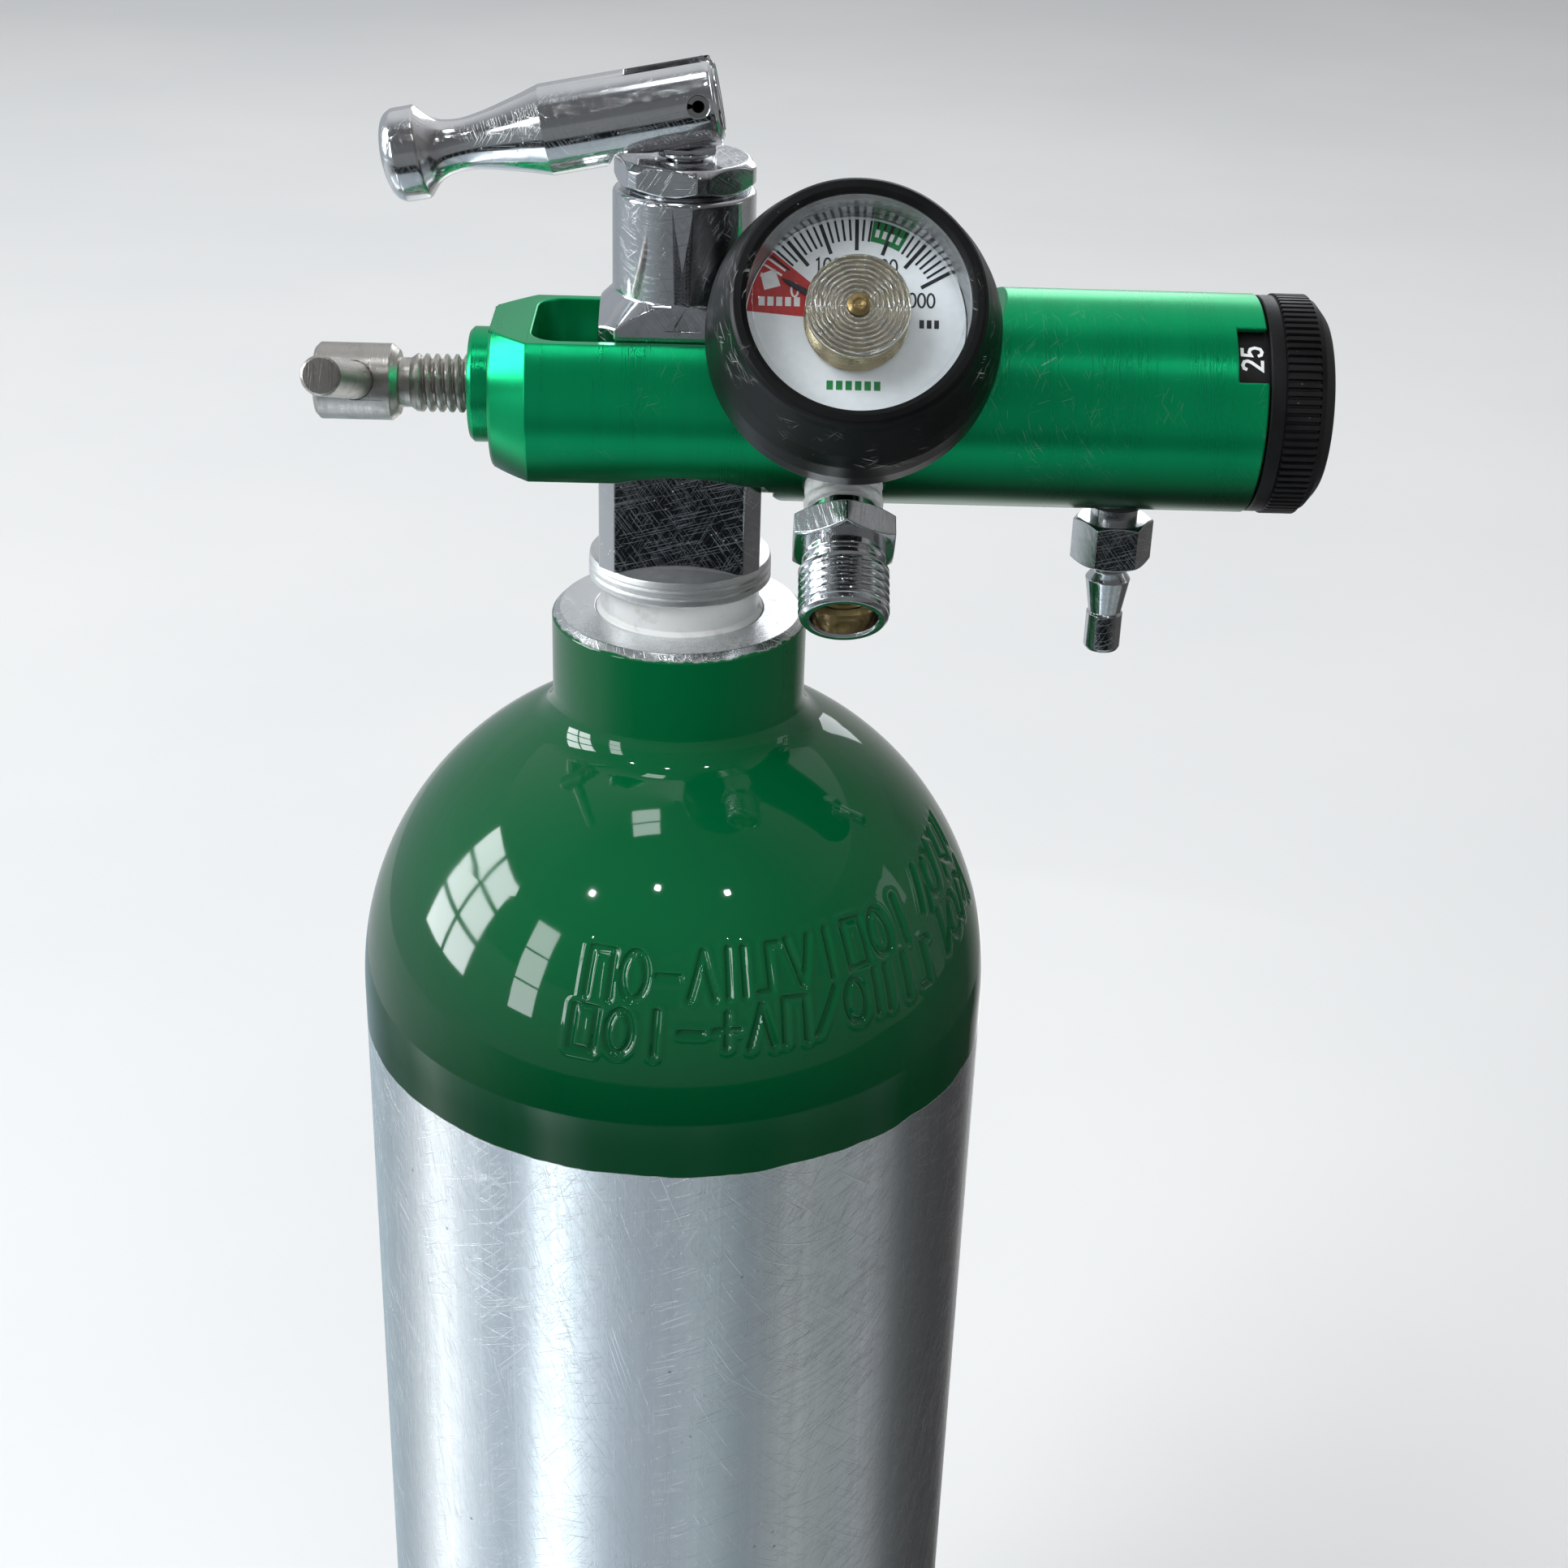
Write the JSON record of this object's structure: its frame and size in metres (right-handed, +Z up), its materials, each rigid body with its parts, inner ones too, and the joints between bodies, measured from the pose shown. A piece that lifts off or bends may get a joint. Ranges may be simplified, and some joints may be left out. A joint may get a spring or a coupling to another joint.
{
  "type": "oxygen cylinder with flow regulator",
  "caption": "Portable medical oxygen cylinder: brushed aluminium bottle with a painted shoulder, a post valve with a toggle lever, and a clamped flow regulator with gauge and outlets.",
  "frame": {"origin": "centre of the bottle's base, on the bottle's axis", "axes": "+Z up the bottle, +X along the regulator towards its flow knob, -Y towards the gauge's face"},
  "size_m": [0.161, 0.111, 0.5088],
  "materials": {
    "bottle": "brushed, green painted shoulder",
    "white_nylon": "moulded nylon",
    "valve_chrome": "polished plate",
    "brass": "drawn",
    "spring_steel": "drawn wire",
    "lever_chrome": "mirror polish",
    "pin_steel": "spring steel",
    "green_anodised": "satin anodised",
    "nickel_steel": "dull nickel plate",
    "sintered_bronze": "sintered",
    "seal_rubber": "smooth",
    "turned_aluminium": "turned",
    "black_plastic": "satin moulded",
    "case_steel": "pressed",
    "black_rubber": "moulded, scuffed",
    "dial_white": "printed enamel",
    "coil_brass": "wound strip",
    "pointer_black": "matt",
    "clear_crystal": "clear moulded",
    "outlet_chrome": "plated",
    "thread_tape": "wrapped tape"
  },
  "bodies": {
    "housing": {"bottle": "bottle", "neck_seal": "white_nylon", "valve_body": "valve_chrome", "debris_tube": "brass", "gland_nut": "valve_chrome", "packing_washer": "brass", "stem_packing": "white_nylon", "stem_spring": "spring_steel", "relief_plug": "brass", "relief_disc": "brass", "yoke_washer": "white_nylon", "regulator_body": "green_anodised", "screw_bushing": "green_anodised", "inlet_nipple": "brass", "inlet_filter": "sintered_bronze", "index_pins": "pin_steel", "pressure_seat": "white_nylon", "piston_spring": "spring_steel", "flow_core": "turned_aluminium", "core_seal": "seal_rubber", "detent_ball": "pin_steel", "detent_spring": "spring_steel", "bearing_plate": "turned_aluminium", "retaining_ring": "spring_steel", "gauge_stem": "brass", "gauge_case": "case_steel", "gauge_boot": "black_rubber", "gauge_dial": "dial_white", "bourdon_coil": "coil_brass", "gauge_crystal": "clear_crystal", "outlet_body": "outlet_chrome", "outlet_tape": "thread_tape", "outlet_spring": "spring_steel", "outlet_retainer": "brass", "hose_barb": "outlet_chrome", "barb_seal": "seal_rubber"},
    "stem": {"valve_stem": "valve_chrome", "valve_seat": "white_nylon"},
    "lever": {"toggle_lever": "lever_chrome", "lever_pin": "pin_steel"},
    "pad": {"clamp_pad": "nickel_steel"},
    "screw": {"tee_screw": "nickel_steel", "tee_bar": "nickel_steel"},
    "piston": {"piston": "brass", "piston_seals": "seal_rubber"},
    "knob": {"orifice_disc": "brass", "flow_dial": "black_plastic", "flow_knob": "black_plastic", "knob_screw": "pin_steel", "knob_cap": "black_plastic"},
    "pointer": {"gauge_pointer": "pointer_black", "pointer_shaft": "brass"},
    "poppet": {"outlet_poppet": "brass"}
  },
  "joints": [
    {"name": "stem_lift", "type": "slide", "parent": "housing", "child": "stem", "axis": [0, 0, 1], "range_m": [0, 0.0012], "deforming": ["stem_spring"]},
    {"name": "lever_hinge", "type": "hinge", "parent": "stem", "child": "lever", "pos_m": [0.002, 0, 0.5029], "axis": [0, 1, 0], "range_deg": [0, 100]},
    {"name": "pad_slide", "type": "slide", "parent": "housing", "child": "pad", "axis": [-1, 0, 0], "range_m": [0, 0.00873]},
    {"name": "screw_turn", "type": "hinge", "parent": "pad", "child": "screw", "pos_m": [-0.03, 0, 0.4567], "axis": [-1, 0, 0], "range_deg": [0, 1980]},
    {"name": "piston_slide", "type": "slide", "parent": "housing", "child": "piston", "axis": [-1, 0, 0], "range_m": [0, 0.0009], "stiffness_N_per_m": 4000, "deforming": ["piston_spring"]},
    {"name": "knob_turn", "type": "hinge", "parent": "housing", "child": "knob", "pos_m": [0.09, 0, 0.4567], "axis": [1, 0, 0], "range_deg": [0, 330]},
    {"name": "pointer_turn", "type": "hinge", "parent": "housing", "child": "pointer", "pos_m": [0.026, -0.02842, 0.47712], "axis": [0, 0.8121, -0.5835], "range_deg": [0, 120]},
    {"name": "poppet_slide", "type": "slide", "parent": "housing", "child": "poppet", "axis": [0, 0.7815, 0.6239], "range_m": [0, 0.002], "stiffness_N_per_m": 800, "deforming": ["outlet_spring"]}
  ],
  "couplings": [
    {"joint": "lever_hinge", "follows": "stem_lift", "rad_per_m": 1454.4},
    {"joint": "screw_turn", "follows": "pad_slide", "rad_per_m": 3957.9}
  ]
}
